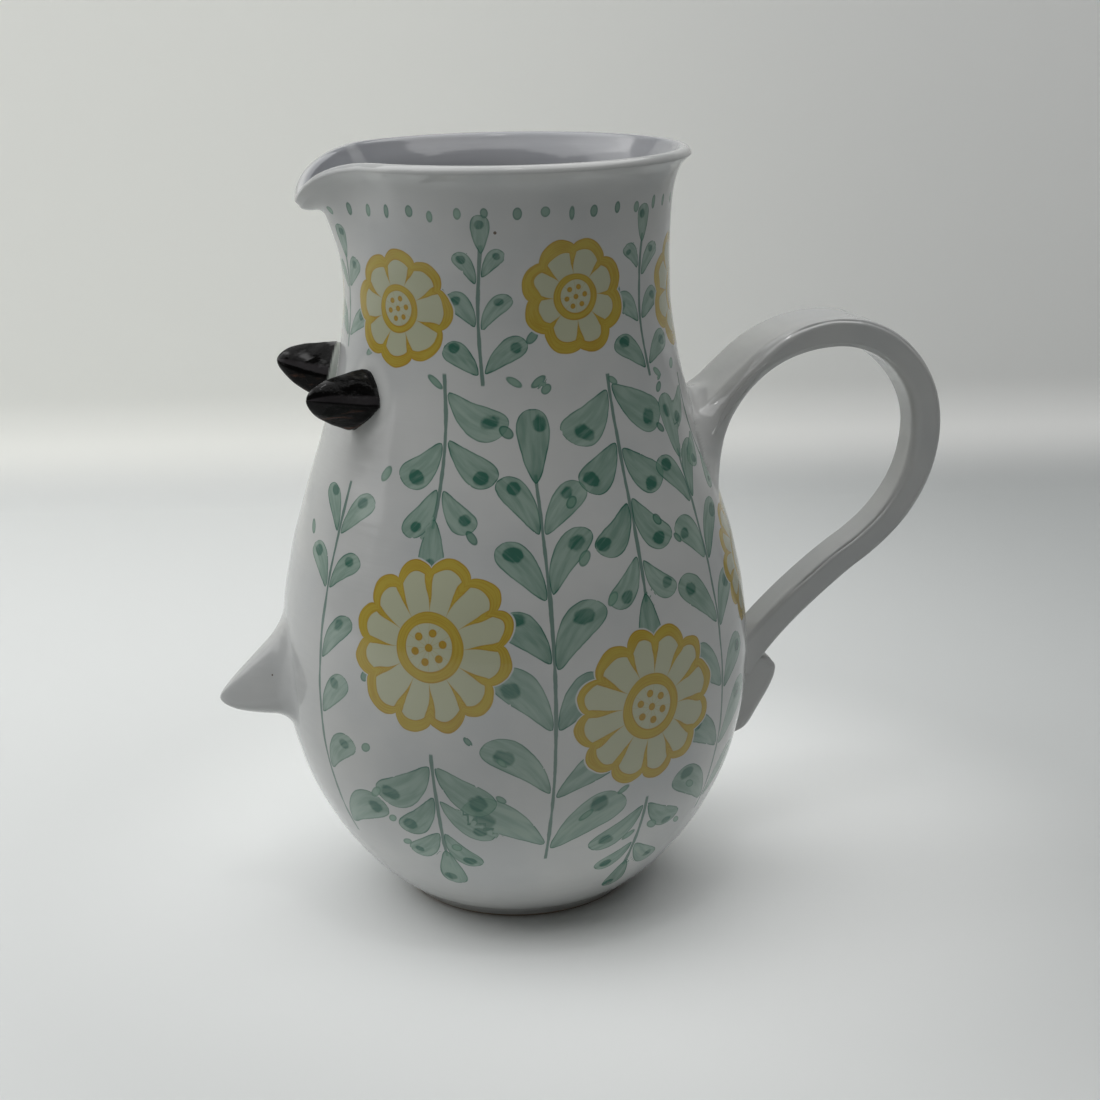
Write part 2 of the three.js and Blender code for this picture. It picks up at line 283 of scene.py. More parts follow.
# Painting: every stroke stores its own coordinates on the vessel's points, and the
# glaze material works out the outline, edge and flow of the brush from them
painting = {
    "seed": 11,
    # Flowers and plain spots: angle, height, radius
    "bellyFlowers": [
        (-122, 104, 27), (-70, 82, 26), (-20, 112, 22),
        (22, 80, 23), (71, 106, 27), (122, 84, 26),
    ],
    "neckFlowers": [-141, -79, -21, 40, 99, 158],
    "neckFlowerHeight": 200,
    "neckFlowerRadius": 18.5,
    "bellyPetals": 12,
    "neckPetals": 8,
    # Sprigs: angle, bottom, top, pairs of leaves, leaf length, leaf half width
    "sprigs": [
        (-152, 34, 146, 6, 22, 5.8),
        (-96, 34, 152, 6, 27, 7.2),
        (-45, 36, 152, 6, 25, 6.6),
        (0, 82, 120, 3, 14, 4.2),
        (47, 36, 152, 6, 25, 6.6),
        (97, 34, 152, 6, 27, 7.2),
        (152, 34, 146, 6, 22, 5.8),
        (-123, 180, 138, 3, 21, 6.2),
        (-70, 178, 114, 4, 22, 6.4),
        (-28, 172, 146, 2, 15, 4.6),
        (29, 172, 122, 3, 18, 5.2),
        (71, 180, 140, 3, 21, 6.2),
        (123, 178, 118, 4, 22, 6.4),
        (-122, 71, 34, 3, 22, 6.2),
        (-70, 51, 24, 2, 20, 5.6),
        (71, 73, 34, 3, 22, 6.2),
        (122, 53, 24, 2, 20, 5.6),
        (-109, 178, 217, 3, 14, 4.2),
        (-50, 176, 217, 3, 14, 4.2),
        (10, 178, 217, 3, 14, 4.2),
        (69, 178, 217, 3, 14, 4.2),
        (129, 178, 217, 3, 14, 4.2),
        (-171, 184, 212, 2, 13, 4.0),
    ],
    "plainSpots": [
        (-153, 168, 15), (159, 168, 15), (180, 84, 40),
        (0, 150, 27), (0, 58, 20),
    ],
    "dotRowHeight": 226,
    "dotRowCount": 40,
    "dotLength": (1.5, 2.2),
    "dotWidth": (0.9, 1.4),
    "dabLength": (1.8, 2.9),
    "dabWidth": (1.0, 1.5),
    "leafTilt": (34, 56),
    "leafBend": (0.05, 0.12),
    "tipLeaf": 0.66,
    "endLeaf": 0.8,
    "farAway": 60,
    "lowest": 3,
}
painter = random.Random(painting["seed"])


def wobble(share):
    return 1 + painter.uniform(-share, share)


def localPlane(canvas, angle, height):
    turn = np.angle(np.exp(1j * (canvas["turn"] - math.radians(angle))))
    return turn * canvas["radius"], canvas["arc"] - wallArc(height)


def isPlain(angle, height, sideways, upwards):
    # The ground stays bare round the horns, the nose and the handle's roots
    arc = wallArc(height) + upwards
    level = float(np.interp(arc, wallArcs, wallHeights))
    turn = math.degrees(sideways / float(wallRadius(level))) + angle
    for spotAngle, spotHeight, radius in painting["plainSpots"]:
        apart = math.radians((turn - spotAngle + 180) % 360 - 180) * float(wallRadius(level))
        if math.hypot(apart, arc - wallArc(spotHeight)) < radius:
            return True
    return False


def keepNearer(canvas, layer, edge, place, size):
    # place holds the stroke's own coordinates, size its measures and rough distance
    closer = edge < canvas[layer + "Size"][:, 2]
    for axis, values in enumerate(place):
        canvas[layer + "Place"][closer, axis] = np.broadcast_to(values, edge.shape)[closer]
    for axis, value in enumerate(size):
        canvas[layer + "Size"][closer, axis] = value
    canvas[layer + "Size"][closer, 2] = edge[closer]


# Outline of a leaf, for the painting on the points and for the glaze
leafShape = {"width": 1.15, "swell": 0.6, "blunt": 5}


def alongStroke(plane, root, direction):
    sideways = plane[0] - root[0]
    upwards = plane[1] - root[1]
    along = sideways * math.cos(direction) + upwards * math.sin(direction)
    return along, upwards * math.cos(direction) - sideways * math.sin(direction)


def paintLeaf(canvas, layer, plane, root, direction, size, bend):
    length, halfWidth = size
    along, across = alongStroke(plane, root, direction)
    share = np.clip(along / length, 0, 1)
    across = across - bend * 4 * share * (1 - share)
    half = halfWidth * leafShape["width"] * share ** leafShape["swell"]
    half = half * np.sqrt(1 - share ** leafShape["blunt"])
    beyond = np.hypot(np.maximum(np.abs(across) - half, 0), along - share * length)
    edge = np.where(beyond > 0, beyond, np.abs(across) - half)
    place = (along / length, across / halfWidth, painter.random())
    keepNearer(canvas, layer, edge, place, size)


def paintStem(canvas, plane, bottom, top, lean):
    share = np.clip((plane[1] - bottom) / (top - bottom), 0, 1)
    across = plane[0] - lean * np.sin(share * math.pi)
    overEnd = np.abs(plane[1] - mix(bottom, top, share))
    keepNearer(canvas, "stem", np.hypot(across, overEnd), (across, overEnd, 0), (1, 1))


def paintDab(canvas, plane, middle, lengths, widths, direction):
    length = painter.uniform(*lengths)
    width = painter.uniform(*widths)
    along, across = alongStroke(plane, middle, direction)
    along, across = along / length, across / width
    edge = (np.hypot(along, across) - 1) * width
    keepNearer(canvas, "dab", edge, (along, across, painter.random()), (width, 0))


def paintSprig(canvas, sprig):
    # A stem with pairs of leaves that shorten towards its tip, and dabs beside them
    p = painting
    angle, bottom, top, pairs, leafLength, leafWidth = sprig
    middle = (bottom + top) / 2
    angle += painter.uniform(-1.5, 1.5)
    plane = localPlane(canvas, angle, middle)
    low = wallArc(bottom) - wallArc(middle)
    high = wallArc(top) - wallArc(middle)
    way = 1 if high > low else -1
    lean = painter.uniform(-3, 3)
    paintStem(canvas, plane, low, high, lean)
    for pair in range(pairs):
        share = (pair + 0.25) / pairs
        taper = mix(1, p["tipLeaf"], share)
        rise = mix(low, high, share)
        for side in (-1, 1):
            layer = "leafA" if (pair + side // 2) % 2 else "leafB"
            tilt = math.radians(mix(*p["leafTilt"], share)) * wobble(0.16) * way
            direction = tilt if side > 0 else math.pi - tilt
            root = (lean * math.sin(share * math.pi) + side, rise + painter.uniform(-1.5, 1.5))
            length = leafLength * taper * wobble(0.12)
            width = leafWidth * taper * wobble(0.14)
            bend = side * way * length * painter.uniform(*p["leafBend"])
            tip = (root[0] + length * math.cos(direction), root[1] + length * math.sin(direction))
            if not isPlain(angle, middle, *tip):
                paintLeaf(canvas, layer, plane, root, direction, (length, width), bend)
            spot = (side * (length * 0.8 + 4), rise + way * (length * 0.14 - 5))
            if (pair + side) % 3 and not isPlain(angle, middle, *spot):
                paintDab(canvas, plane, spot, p["dabLength"], p["dabWidth"], tilt * side)
    size = (leafLength * p["endLeaf"], leafWidth * p["endLeaf"])
    if not isPlain(angle, middle, 0, high + way * size[0]):
        paintLeaf(canvas, "leafA", plane, (0, high - way * 2), way * math.pi / 2, size, 0)


def paintFlower(canvas, angle, height, radius, petals):
    sideways, upwards = localPlane(canvas, angle, height)
    edge = np.hypot(sideways, upwards) - radius
    place = (sideways / radius, upwards / radius, painter.uniform(0, 2 * math.pi))
    keepNearer(canvas, "flower", edge, place, (radius, petals))


def hornHalo(points):
    # Strength of the wiped, paler ring of glaze that runs round each horn
    h = horns
    halo = np.zeros(len(points))
    height = vessel["height"] - h["dropFromTop"] + h["haloRise"]
    for hand in (1, -1):
        outX, outY = hornFacing(hand, h["angle"])[:2]
        beside = points[:, 1] * outX - points[:, 0] * outY
        reach = np.hypot(beside / (h["wide"] / 2), (points[:, 2] - height) / (h["tall"] / 2))
        onThatSide = points[:, 0] * outX + points[:, 1] * outY > 0
        ring = smoothstep((h["haloReach"] - reach) / h["haloFade"])
        halo = np.maximum(halo, np.where(onThatSide, ring, 0))
    return halo


def paintVessel(points):
    radius = np.hypot(points[:, 0], points[:, 1])
    height = points[:, 2]
    outside = radius > wallRadius(height) - vessel["wall"] / 2
    outside &= height < vessel["height"] - 1.5 * vessel["beadRadius"]
    chosen = np.flatnonzero(outside & (height > painting["lowest"]))
    canvas = {
        "turn": np.arctan2(points[chosen, 1], points[chosen, 0]),
        "radius": radius[chosen],
        "arc": wallArc(height[chosen]),
    }
    layers = {}
    for layer in ("leafA", "leafB", "flower", "stem", "dab"):
        layers[layer + "Place"] = (0, 0, 0)
        layers[layer + "Size"] = (1, 1, painting["farAway"])
    for name, empty in layers.items():
        canvas[name] = np.tile(np.array(empty, float), (len(chosen), 1))
    p = painting
    for flower in p["bellyFlowers"]:
        paintFlower(canvas, *flower, p["bellyPetals"])
    for angle in p["neckFlowers"]:
        height = p["neckFlowerHeight"] + painter.uniform(-3, 3)
        paintFlower(canvas, angle, height, p["neckFlowerRadius"] * wobble(0.07), p["neckPetals"])
    for sprig in p["sprigs"]:
        paintSprig(canvas, sprig)
    for dot in range(p["dotRowCount"]):
        angle = dot * 360 / p["dotRowCount"] + painter.uniform(-1.2, 1.2)
        plane = localPlane(canvas, angle, p["dotRowHeight"] + painter.uniform(-0.6, 0.6))
        paintDab(canvas, plane, (0, 0), p["dotLength"], p["dotWidth"], math.pi / 2)
    for name, empty in layers.items():
        layers[name] = np.tile(np.array(empty, float), (len(points), 1))
        layers[name][chosen] = canvas[name]
    return layers


# Node helpers
def addNode(tree, kind, inputs=None, **settings):
    node = tree.nodes.new("ShaderNode" + kind)
    for name, value in settings.items():
        setattr(node, name, value)
    for key, value in (inputs or {}).items():
        if isinstance(value, bpy.types.NodeSocket):
            tree.links.new(value, node.inputs[key])
        else:
            node.inputs[key].default_value = value
    return node


def grow(kind, inputs, **settings):
    # The new node goes into the tree of the sockets that feed it
    sockets = [value for value in inputs.values() if isinstance(value, bpy.types.NodeSocket)]
    return addNode(sockets[0].id_data, kind, inputs, **settings).outputs


def calc(operation, *values, clamp=False):
    return grow("Math", dict(enumerate(values)), operation=operation, use_clamp=clamp)[0]


def plus(*values):
    return calc("ADD", *values)


def minus(*values):
    return calc("SUBTRACT", *values)


def times(*values):
    return calc("MULTIPLY", *values)


def scaled(value, factor, offset, clamp=False):
    return calc("MULTIPLY_ADD", value, factor, offset, clamp=clamp)


def fade(value, low, high):
    inputs = {"Value": value, "From Min": low, "From Max": high}
    return grow("MapRange", inputs, interpolation_type="SMOOTHSTEP")["Result"]


def tint(mask, under, over, blend="MIX"):
    return grow("Mix", {0: mask, 6: under, 7: over}, data_type="RGBA", blend_type=blend)[2]


def speckle(vector, scale, detail):
    return grow("TexNoise", {"Vector": vector, "Scale": scale, "Detail": detail})["Fac"]


def stretched(place, scale):
    return grow("Mapping", {"Vector": place, "Scale": scale})[0]


def combine(x, y, z):
    return grow("CombineXYZ", {0: x, 1: y, 2: z})[0]


def separate(vector):
    return grow("SeparateXYZ", {0: vector})


def flatLength(x, y):
    return grow("VectorMath", {0: combine(x, y, 0.0)}, operation="LENGTH")["Value"]


def softEdge(distance, soft=0.14):
    return fade(distance, soft, -soft)


def ragged(value, uneven, amount):
    # The noise moves the value to and fro
    return plus(value, scaled(uneven, amount, -amount / 2))


def objectPlace(tree):
    return addNode(tree, "TexCoord").outputs["Object"]


def stored(tree, name, kind="Fac"):
    return addNode(tree, "Attribute", attribute_name=name).outputs[kind]


def strokeLayer(tree, layer, watery):
    return {"Place": stored(tree, layer + "Place", "Vector"),
            "Size": stored(tree, layer + "Size", "Vector"), "Watery": watery}


def newMaterial(name):
    material = bpy.data.materials.new(name)
    material.use_nodes = True
    material.node_tree.nodes.clear()
    return material, material.node_tree


def setSurface(tree, shader):
    output = addNode(tree, "OutputMaterial")
    tree.links.new(shader.outputs[0], output.inputs["Surface"])


def newGroup(name, inputs, outputs):
    group = bpy.data.node_groups.new(name, "ShaderNodeTree")
    for way, sockets in (("INPUT", inputs), ("OUTPUT", outputs)):
        for label, kind in sockets.items():
            group.interface.new_socket(label, in_out=way, socket_type="NodeSocket" + kind)
    return group, group.nodes.new("NodeGroupInput").outputs, group.nodes.new("NodeGroupOutput").inputs


# Tin-white glaze ground: cloudy tone, faint wiping marks, kiln specks and a softly uneven skin
glaze = {
    "pale": (0.495, 0.50, 0.493, 1),
    "cloud": (0.44, 0.45, 0.452, 1),
    "speck": (0.12, 0.09, 0.07, 1),
    "cloudScale": 28,
    "cloudRange": (0.35, 0.7),
    "wipeScale": (30, 30, 420),
    "wipeRange": (0.55, 0.8),
    "wipeStrength": 0.18,
    "speckScale": 105,
    "speckSize": 0.05,
    "speckShare": 0.07,
    "skinScale": 65,
    "roughness": 0.11,
    "uneven": 0.10,
    "bump": 0.00035,
    "ior": 1.52,
    # Painted shade: the handle and its tongue are glazed darker than the rest, as the shade on the
    # handle's sides
    "strapShade": 0.87,
}


def makeGlazeGround():
    g = glaze
    outputs = {"Color": "Color", "Roughness": "Float", "Height": "Float"}
    group, given, made = newGroup("glazeGround", {}, outputs)
    place = objectPlace(group)
    clouds = speckle(place, g["cloudScale"], 3)
    wiping = speckle(stretched(place, g["wipeScale"]), 1, 2)
    ground = tint(fade(clouds, *g["cloudRange"]), g["pale"], g["cloud"])
    wiped = times(fade(wiping, *g["wipeRange"]), g["wipeStrength"])
    ground = tint(wiped, ground, g["cloud"])
    cells = grow("TexVoronoi", {"Vector": place, "Scale": g["speckScale"]})
    isSpeck = calc("LESS_THAN", cells["Distance"], g["speckSize"])
    isDark = calc("LESS_THAN", separate(cells["Color"])[0], g["speckShare"])
    ground = tint(times(isSpeck, isDark), ground, g["speck"])
    group.links.new(ground, made["Color"])
    skin = speckle(place, g["skinScale"], 2)
    roughness = scaled(skin, g["uneven"], g["roughness"] - g["uneven"] / 2)
    group.links.new(roughness, made["Roughness"])
    group.links.new(scaled(wiping, 0.35, skin), made["Height"])
    return group


glazeGround = makeGlazeGround()


def finishGlaze(tree, color, ground):
    skin = {"Height": ground["Height"], "Distance": glaze["bump"], "Strength": 0.5}
    setSurface(tree, addNode(tree, "BsdfPrincipled", {
        "Base Color": color,
        "Roughness": ground["Roughness"],
        "Normal": grow("Bump", skin)[0],
        "IOR": glaze["ior"],
    }))


def makePlainGlaze(name, shadeTone):
    material, tree = newMaterial(name)
    ground = addNode(tree, "Group", node_tree=glazeGround).outputs
    # Painted shade: away from the wall the glaze is multiplied by the given darkening, which fades out
    # at the root
    away = minus(1.0, stored(tree, "root"))
    color = tint(away, ground["Color"], (shadeTone, shadeTone, shadeTone, 1), "MULTIPLY")
    finishGlaze(tree, color, ground)
    return material


# Painted glaze of the vessel
brushColors = {
    "leaf": (0.175, 0.295, 0.225, 1),
    "leafDeep": (0.018, 0.105, 0.072, 1),
    "ochre": (0.40, 0.30, 0.035, 1),
    "ochreDeep": (0.33, 0.19, 0.010, 1),
    "cream": (0.385, 0.395, 0.25, 1),
    # Painted shade for the vessel's inside: a darkening with a lilac tint
    "inside": (0.66, 0.665, 0.71, 1),
    "halo": (0.60, 0.61, 0.60, 1),
    "clay": (0.42, 0.30, 0.20, 1),
}
coverage = {"cream": 0.8, "ochre": 0.94, "stem": 0.75, "dab": 0.85, "halo": 0.7}
# In metres: where the glaze is painted lighter towards the foot, as painted light thrown up from the
# floor, and where the ring is bare clay
footGlaze = {"pale": (0.062, 0.02), "floorBounceLight": 0.26, "clay": (0.0012, 0.0004)}
# Rough distances in millimetres past which the stored coordinates are not a stroke's own
nearLimit = {"leaf": 0.35, "flower": 1.5, "stem": 1.6}
strokeInputs = {"Place": "Vector", "Size": "Vector", "Watery": "Float"}


def makeLeafStroke():
    # One loaded stroke: its outline, and how much pigment lies at each place in it
    group, given, made = newGroup("leafStroke", strokeInputs, {"Mask": "Float", "Depth": "Float"})
    share, across, seed = separate(given["Place"])
    length, width, rough = separate(given["Size"])
    inner = calc("MINIMUM", calc("MAXIMUM", share, 0.0), 1.0)
    blunt = calc("SQRT", minus(1.0, calc("POWER", inner, leafShape["blunt"])))
    half = times(calc("POWER", inner, leafShape["swell"]), leafShape["width"])
    half = times(half, blunt)
    side = times(minus(calc("ABSOLUTE", across), half), width)
    beyond = times(calc("MAXIMUM", minus(share, 1.0), times(share, -1.0)), length)
    edge = calc("MAXIMUM", side, beyond)
    edge = ragged(edge, given["Watery"], 0.9)
    near = calc("LESS_THAN", rough, nearLimit["leaf"])
    group.links.new(times(softEdge(edge), near), made["Mask"])
    flow = combine(times(across, 3.2), times(share, 1.6), times(seed, 40.0))
    streak = fade(speckle(flow, 1, 4), 0.34, 0.68)
    rimLine = fade(edge, -0.6, -0.12)
    poolAlong = calc("DIVIDE", minus(share, scaled(seed, 0.12, 0.70)), 0.12)
    poolAcross = calc("DIVIDE", ragged(across, seed, 0.8), 0.42)
    pool = flatLength(poolAlong, poolAcross)
    pool = ragged(pool, given["Watery"], 1.6)
    pooled = fade(pool, 1.15, 0.75)
    depth = scaled(streak, 0.34, times(seed, 0.26))
    depth = scaled(rimLine, 0.5, depth)
    depth = scaled(pooled, 0.62, depth)
    depth = scaled(fade(share, 0.25, 0.0), 0.25, depth, clamp=True)
    group.links.new(depth, made["Depth"])
    return group


# Petals in broad ochre outlines round a ringed heart, as shares of the radius
flowerShape = {
    "sway": 0.44,
    "petalStart": 0.84,
    "petalDepth": 0.13,
    "petalRound": 0.75,
    "lopsided": 0.035,
    "bandWidth": 0.15,
    "bandSway": 3.2,
    "heart": 0.33,
    "heartWidth": 0.015,
    "heartSway": 0.09,
    "dotRing": 0.165,
    "dot": 0.045,
}


def makeFlowerStroke():
    f = flowerShape
    outputs = {"Fill": "Float", "Line": "Float", "Depth": "Float", "Outside": "Float"}
    group, given, made = newGroup("flowerStroke", strokeInputs, outputs)
    sideways, upwards, phase = separate(given["Place"])
    radius, petals, rough = separate(given["Size"])
    reach = flatLength(sideways, upwards)
    turn = plus(calc("ARCTAN2", upwards, sideways), phase)
    sway = speckle(combine(sideways, upwards, phase), 1.1, 2)
    turn = ragged(turn, sway, f["sway"])
    fold = calc("COSINE", times(times(turn, petals), 0.5))
    fold = calc("ABSOLUTE", fold)
    uneven = times(calc("SINE", times(turn, 2.0)), f["lopsided"])
    outline = scaled(calc("POWER", fold, f["petalRound"]), f["petalDepth"], f["petalStart"])
    outline = plus(outline, uneven)
    out = times(minus(reach, outline), radius)
    out = ragged(out, given["Watery"], 0.8)
    bandWidth = scaled(sway, f["bandSway"], f["bandWidth"])
    band = minus(calc("ABSOLUTE", plus(out, bandWidth)), bandWidth)
    spoke = times(times(reach, radius), fold)
    spoke = times(calc("DIVIDE", spoke, petals), 2.0)
    spokeWidth = scaled(given["Watery"], 0.8, 0.45)
    spokeWidth = times(fade(reach, 0.36, 0.86), spokeWidth)
    spoke = minus(spoke, times(spokeWidth, 1.7))
    spoke = calc("MAXIMUM", spoke, out)
    heart = calc("ABSOLUTE", minus(reach, f["heart"]))
    heartWidth = scaled(sway, f["heartSway"], f["heartWidth"])
    heart = times(minus(heart, heartWidth), radius)
    sixth = calc("PINGPONG", turn, math.pi / 6)
    dotAlong = minus(times(reach, calc("COSINE", sixth)), f["dotRing"])
    dotAcross = times(reach, calc("SINE", sixth))
    dot = calc("MINIMUM", flatLength(dotAlong, dotAcross), reach)
    dot = times(minus(dot, f["dot"]), radius)
    lines = calc("MINIMUM", calc("MINIMUM", band, spoke), calc("MINIMUM", heart, dot))
    near = calc("LESS_THAN", rough, nearLimit["flower"])
    group.links.new(times(softEdge(out, 0.15), near), made["Fill"])
    group.links.new(times(softEdge(lines), near), made["Line"])
    far = minus(1.0, near)
    group.links.new(calc("MAXIMUM", fade(out, 0.3, 0.7), far), made["Outside"])
    parts = (calc("MINIMUM", band, heart), sideways, upwards)
    flow = combine(*[times(part, 2.2) for part in parts])
    streak = fade(speckle(flow, 1, 3), 0.40, 0.68)
    edge = times(fade(lines, -0.55, -0.1), 0.6)
    edge = scaled(softEdge(dot, 0.1), 0.6, edge)
    group.links.new(scaled(streak, 0.6, edge, clamp=True), made["Depth"])
    return group


def makePaintedGlaze():
    material, tree = newMaterial("paintedGlaze")
    c = brushColors
    ground = addNode(tree, "Group", node_tree=glazeGround).outputs
    place = objectPlace(tree)
    watery = speckle(place, 150, 3)
    color = ground["Color"]

    flower = grow("Group", strokeLayer(tree, "flower", watery), node_tree=makeFlowerStroke())
    color = tint(times(flower["Fill"], coverage["cream"]), color, c["cream"])
    ochre = tint(flower["Depth"], c["ochre"], c["ochreDeep"])
    color = tint(times(flower["Line"], coverage["ochre"]), color, ochre)

    stem = strokeLayer(tree, "stem", watery)
    stemPlace = separate(stem["Place"])
    stemNear = calc("LESS_THAN", separate(stem["Size"])[2], nearLimit["stem"])
    stemWidth = scaled(watery, 0.9, 0.1)
    stemEdge = minus(calc("ABSOLUTE", stemPlace[0]), stemWidth)
    stemMask = times(softEdge(stemEdge), fade(stemPlace[1], 0.9, 0.4))
    stemMask = times(times(stemMask, stemNear), flower["Outside"])
    color = tint(times(stemMask, coverage["stem"]), color, c["leafDeep"])

    stroke = makeLeafStroke()
    for layer in ("leafA", "leafB"):
        leaf = grow("Group", strokeLayer(tree, layer, watery), node_tree=stroke)
        pigment = tint(leaf["Depth"], c["leaf"], c["leafDeep"])
        strength = scaled(leaf["Depth"], 0.3, 0.66, clamp=True)
        cover = times(times(leaf["Mask"], strength), flower["Outside"])
        color = tint(cover, color, pigment)

    dab = strokeLayer(tree, "dab", watery)
    dabAlong, dabAcross, dabTone = separate(dab["Place"])
    dabSize = separate(dab["Size"])
    edge = times(minus(flatLength(dabAlong, dabAcross), 1.0), dabSize[0])
    edge = ragged(edge, watery, 0.6)
    dabNear = calc("LESS_THAN", dabSize[2], nearLimit["leaf"])
    dabMask = times(times(softEdge(edge, 0.12), dabNear), flower["Outside"])
    dabDepth = scaled(fade(edge, -0.6, -0.1), 0.5, times(dabTone, 0.5))
    dabColor = tint(dabDepth, c["leaf"], c["leafDeep"])
    color = tint(times(dabMask, coverage["dab"]), color, dabColor)

    color = tint(times(stored(tree, "halo"), coverage["halo"]), color, c["halo"])
    # Painted shade: the inside of the vessel is darkened, with a lilac tint
    shaded = tint(1.0, color, c["inside"], "MULTIPLY")
    color = tint(stored(tree, "inside"), color, shaded)
    height = separate(place)[2]
    # Painted light: the glaze grows lighter towards the foot
    low = scaled(fade(height, *footGlaze["pale"]), footGlaze["floorBounceLight"], 1.0)
    color = tint(1.0, color, combine(low, low, low), "MULTIPLY")
    color = tint(fade(height, *footGlaze["clay"]), color, c["clay"])
    finishGlaze(tree, color, ground)
    return material


# Runny brown-black glaze with brown streaks low on the horn, and a paler band along the ridge that is
# a painted reflection of the ceiling
hornGlaze = {
    "black": (0.003, 0.0028, 0.0028, 1),
    "brown": (0.05, 0.024, 0.016, 1),
    # Painted reflection of the ceiling along the ridge
    "ridge": (0.05, 0.046, 0.049, 1),
    "bare": (0.44, 0.47, 0.44, 1),
    "streakScale": (90, 300, 480),
    "streakRange": (0.54, 0.7),
    "patchScale": (80, 160, 260),
    "ridgeFrom": (0.2, 0.3),
    "ridgeTo": (0.62, 0.5),
    "lowSide": (-0.15, -0.35),
    "skinScale": 240,
    "bump": 0.0006,
    "specular": 0.07,
    "coatRoughness": 0.06,
}


def makeDarkGlaze():
    g = hornGlaze
    material, tree = newMaterial("darkGlaze")
    place = objectPlace(tree)
    around = stored(tree, "around")
    streaks = speckle(stretched(place, g["streakScale"]), 1, 4)
    patches = speckle(stretched(place, g["patchScale"]), 1, 3)
    sway = scaled(patches, 0.3, around)
    # Painted reflection: a paler band along the upper ridge, broken up by patches
    ridge = times(fade(sway, *g["ridgeFrom"]), fade(sway, *g["ridgeTo"]))
    ridge = times(ridge, scaled(patches, 0.9, 0.2))
    broken = times(fade(streaks, *g["streakRange"]), fade(around, *g["lowSide"]))
    color = tint(broken, g["black"], g["brown"])
    color = tint(ridge, color, g["ridge"])
    color = tint(stored(tree, "bareRoot"), color, g["bare"])
    skin = speckle(place, g["skinScale"], 3)
    runs = times(fade(patches, 0.5, 0.62), fade(around, -0.1, 0.35))
    shader = addNode(tree, "BsdfPrincipled", {
        "Base Color": color,
        "Roughness": scaled(skin, 0.20, 0.02),
        "Specular IOR Level": g["specular"],
        "Coat Weight": scaled(runs, 0.8, 0.05),
        "Coat Roughness": g["coatRoughness"],
        "Normal": grow("Bump", {"Height": skin, "Distance": g["bump"], "Strength": 0.8})[0],
    })
    setSurface(tree, shader)
    return material


whiteGlaze = makePlainGlaze("whiteGlaze", 1)
# Painted shade: the strap and tongue get a darker copy of the white glaze
shadedStrapGlaze = makePlainGlaze("shadedStrapGlaze", glaze["strapShade"])
paintedGlaze = makePaintedGlaze()
darkGlaze = makeDarkGlaze()
print("materials made")


def makeVessel():
    bm = bmesh.new()
    profile = footProfile() + wallPoints + rimBead() + innerWall()
    corners, edges = addLine(bm, [(radius, 0, height) for radius, height in profile])
    bmesh.ops.spin(bm, geom=corners + edges, axis=(0, 0, 1), cent=(0, 0, 0), angle=2 * math.pi,
                   steps=vessel["segments"], use_merge=True)
    mesh = makePiece(bm, "pitcherBody", "vessel_body", paintedGlaze).data
    points = readPoints(mesh)
    painted = paintVessel(points)
    middleRadius = wallRadius(points[:, 2]) - vessel["wall"] / 2
    inside = smoothstep(middleRadius - np.hypot(points[:, 0], points[:, 1]))
    halo = hornHalo(points) * (1 - inside)
    markFingers(points)
    pullLip(points)
    writePoints(mesh, points)
    for name, values in painted.items():
        layer = mesh.attributes.new(name, "FLOAT_VECTOR", "POINT")
        layer.data.foreach_set("vector", values.ravel())
    for name, values in (("inside", inside), ("halo", halo)):
        layer = mesh.attributes.new(name, "FLOAT", "POINT")
        layer.data.foreach_set("value", values)


# Applied pieces start as a straight unit tube, and each station is then given its place
def unitTube(sides, stations):
    bm = bmesh.new()
    ring = bmesh.ops.create_circle(bm, segments=sides, radius=1, cap_ends=False)["verts"]
    edges = list({edge for vert in ring for edge in vert.link_edges})
    for station in range(stations - 1):
        grown = bmesh.ops.extrude_edge_only(bm, edges=edges)["geom"]
        ring = [item for item in grown if isinstance(item, bmesh.types.BMVert)]
        edges = [item for item in grown if isinstance(item, bmesh.types.BMEdge)]
        bmesh.ops.translate(bm, vec=(0, 0, 1), verts=ring)
    bmesh.ops.holes_fill(bm, edges=[edge for edge in bm.edges if edge.is_boundary], sides=0)
    return bm


def squared(unit, squareness):
    return math.copysign(abs(unit) ** (2 / squareness), unit)


def dented(point, centre, dent, scale):
    return point + (point - centre).normalized() * dent * (noise.noise(point * scale) - 1) / 2


def flowIntoWall(point, centre, fillet):
    # A piece widens in a quarter round along the wall where it nears it, and ends flush
    clear = math.hypot(point.x, point.y) - skinRadius(point.z)
    near = min(max(1 - clear / fillet, 0), 1)
    if near == 0:
        return point
    lean = float(wallRadius(point.z + 1) - wallRadius(point.z - 1)) / 2
    normal = Vector((point.x, point.y, -lean * math.hypot(point.x, point.y))).normalized()
    outward = (point - centre).normalized()
    outward = (outward - normal * outward.dot(normal)).normalized()
    moved = point + outward * fillet * (1 - math.sqrt(1 - near * near))
    scale = (skinRadius(moved.z) + clear) / math.hypot(moved.x, moved.y)
    return Vector((moved.x * scale, moved.y * scale, moved.z))


